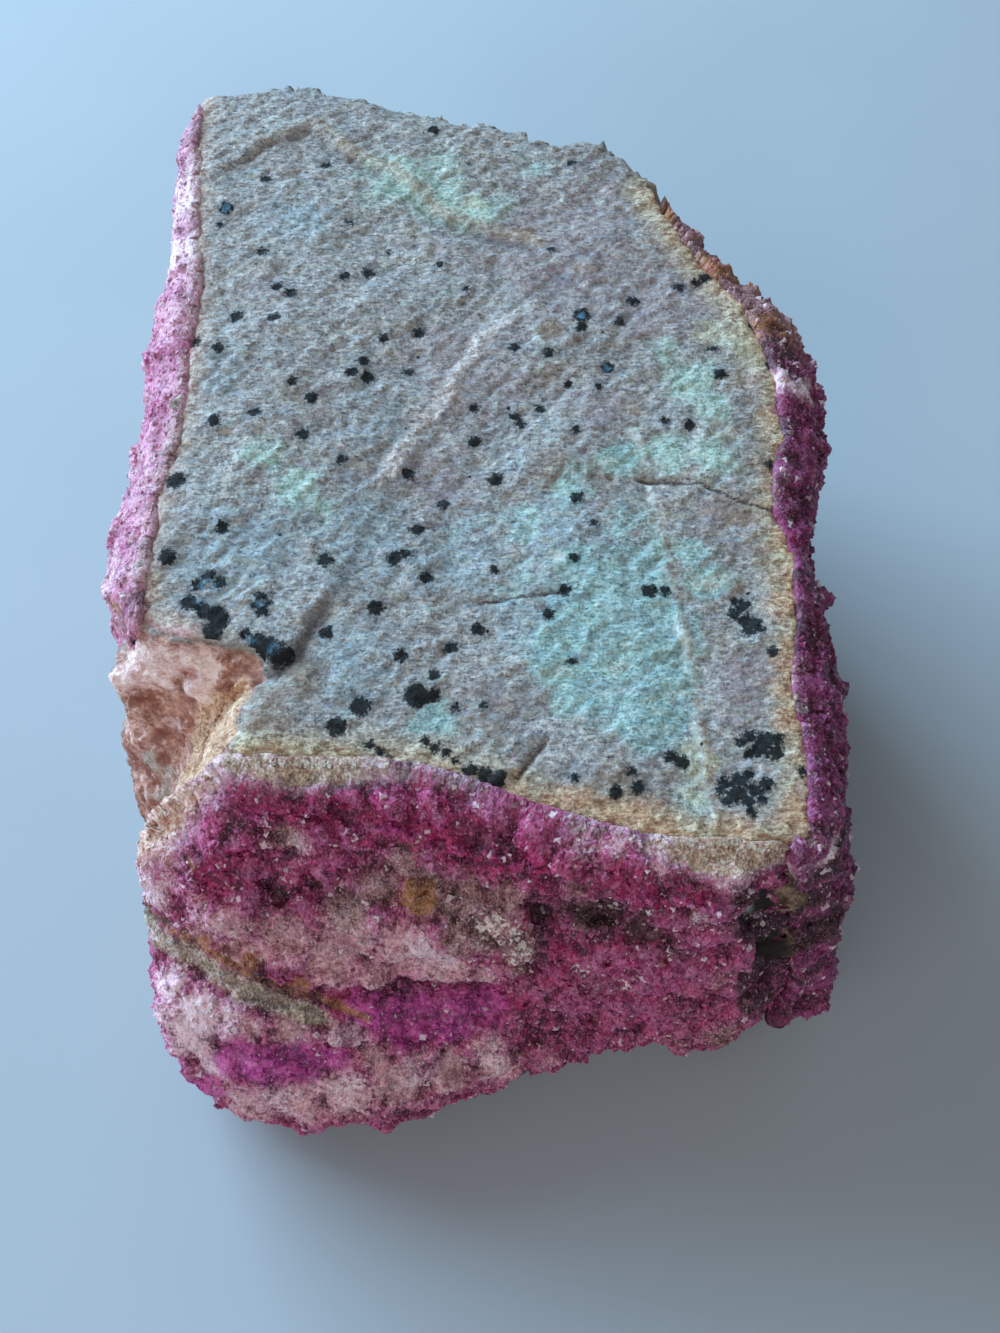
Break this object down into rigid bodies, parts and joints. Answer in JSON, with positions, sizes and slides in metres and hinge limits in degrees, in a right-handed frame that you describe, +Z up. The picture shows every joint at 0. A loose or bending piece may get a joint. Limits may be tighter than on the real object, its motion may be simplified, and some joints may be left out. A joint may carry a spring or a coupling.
{
  "type": "cobaltoan calcite specimen",
  "caption": "Hand-size broken block of grey fine-grained dolomitic rock with crusts of small magenta calcite crystals on three sides.",
  "frame": {"origin": "middle of the underside, on the flat face it rests on", "axes": "+Z up out of the underside, -Y towards the front, which carries the thickest crystal crust, +X to the right as seen from the front"},
  "size_m": [0.0774, 0.1108, 0.0547],
  "materials": {
    "host_rock": "dull, sugary broken stone",
    "crystal_crust": "glassy, sparkling crystal faces",
    "pale_crust": "glassy, pale pink crystal faces"
  },
  "bodies": {
    "root": {"host_rock": "host_rock", "front_crust": "crystal_crust", "right_crust": "crystal_crust", "left_crust": "pale_crust"}
  },
  "joints": []
}
